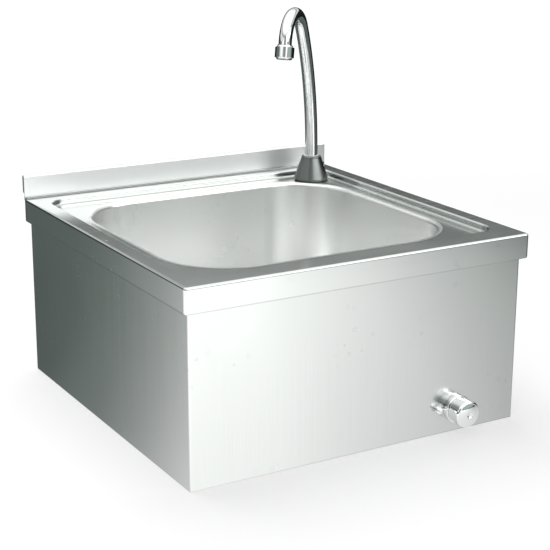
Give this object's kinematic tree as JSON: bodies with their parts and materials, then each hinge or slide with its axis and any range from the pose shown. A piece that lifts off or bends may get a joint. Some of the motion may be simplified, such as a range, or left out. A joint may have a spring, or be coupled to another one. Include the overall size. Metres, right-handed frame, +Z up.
{
  "type": "hand wash sink",
  "caption": "Wall-hung hand wash sink in stainless sheet, square bowl, swan-neck swivel spout, push-button tap in the front panel",
  "frame": {"origin": "middle of the two upper wall-fixing slots of the rear rail, on the wall plane", "axes": "+Z up, +X right for the user, +Y from the user towards the wall"},
  "size_m": [0.45, 0.4766, 0.4647],
  "materials": {
    "stainless_satin": "satin brushed",
    "stainless_plain": "mill",
    "zinc_plated": "zinc plated",
    "chrome_polished": "polished",
    "chrome_satin": "satin",
    "brass_bare": "machined",
    "copper_chromed": "polished",
    "rubber_black": "matte",
    "bitumen_pad": "matte",
    "polypropylene_white": "moulded",
    "acetal_white": "moulded"
  },
  "bodies": {
    "sink": {"bowl": "stainless_satin", "casing": "stainless_satin", "clamp_nut": "chrome_polished", "cold_inlet": "brass_bare", "deck_top": "stainless_satin", "hot_inlet": "brass_bare", "inlet_screens": "stainless_plain", "lower_brace": "stainless_plain", "panel_washer": "rubber_black", "rail_nuts": "zinc_plated", "rail_screws": "zinc_plated", "rear_rail": "stainless_plain", "return_spring": "stainless_plain", "riser_nut_tap": "brass_bare", "riser_nut_valve": "brass_bare", "riser_tube": "copper_chromed", "sound_pad": "bitumen_pad", "spout_bush": "acetal_white", "strainer": "stainless_plain", "strainer_gasket": "rubber_black", "strainer_screw": "stainless_plain", "stud_nuts": "zinc_plated", "stud_washers": "zinc_plated", "tap_backnut": "brass_bare", "tap_cone": "chrome_satin", "tap_gasket": "rubber_black", "tap_rubber_washer": "rubber_black", "tap_shank": "brass_bare", "tap_steel_washer": "stainless_plain", "valve_body": "brass_bare", "valve_sleeve": "chrome_polished", "waste_body": "polypropylene_white", "waste_gasket": "rubber_black", "weld_studs": "zinc_plated"},
    "spout": {"spout_tube": "chrome_polished", "spout_spigot": "brass_bare", "spout_o_rings": "rubber_black", "spout_clip": "stainless_plain", "outlet_collar": "chrome_polished", "aerator_housing": "chrome_polished", "aerator_insert": "acetal_white", "aerator_washer": "rubber_black"},
    "button": {"button_cap": "chrome_polished", "button_stem": "brass_bare", "piston_seal": "rubber_black"},
    "lever": {"mixing_ring": "chrome_polished", "lever_rod": "chrome_polished", "lever_ball": "chrome_polished"}
  },
  "joints": [
    {"name": "spout_swivel", "type": "hinge", "parent": "sink", "child": "spout", "pos_m": [0.174, -0.053, 0.06], "axis": [0, 0, 1], "range_deg": [-58, 150]},
    {"name": "button_press", "type": "slide", "parent": "sink", "child": "button", "axis": [0, 1, 0], "range_m": [0, 0.008], "stiffness_N_per_m": 1500, "springref_m": -0.006, "deforming": ["return_spring"]},
    {"name": "lever_turn", "type": "hinge", "parent": "sink", "child": "lever", "pos_m": [0.1326, -0.45215, -0.1601], "axis": [0, 1, 0], "range_deg": [-45, 45]}
  ]
}
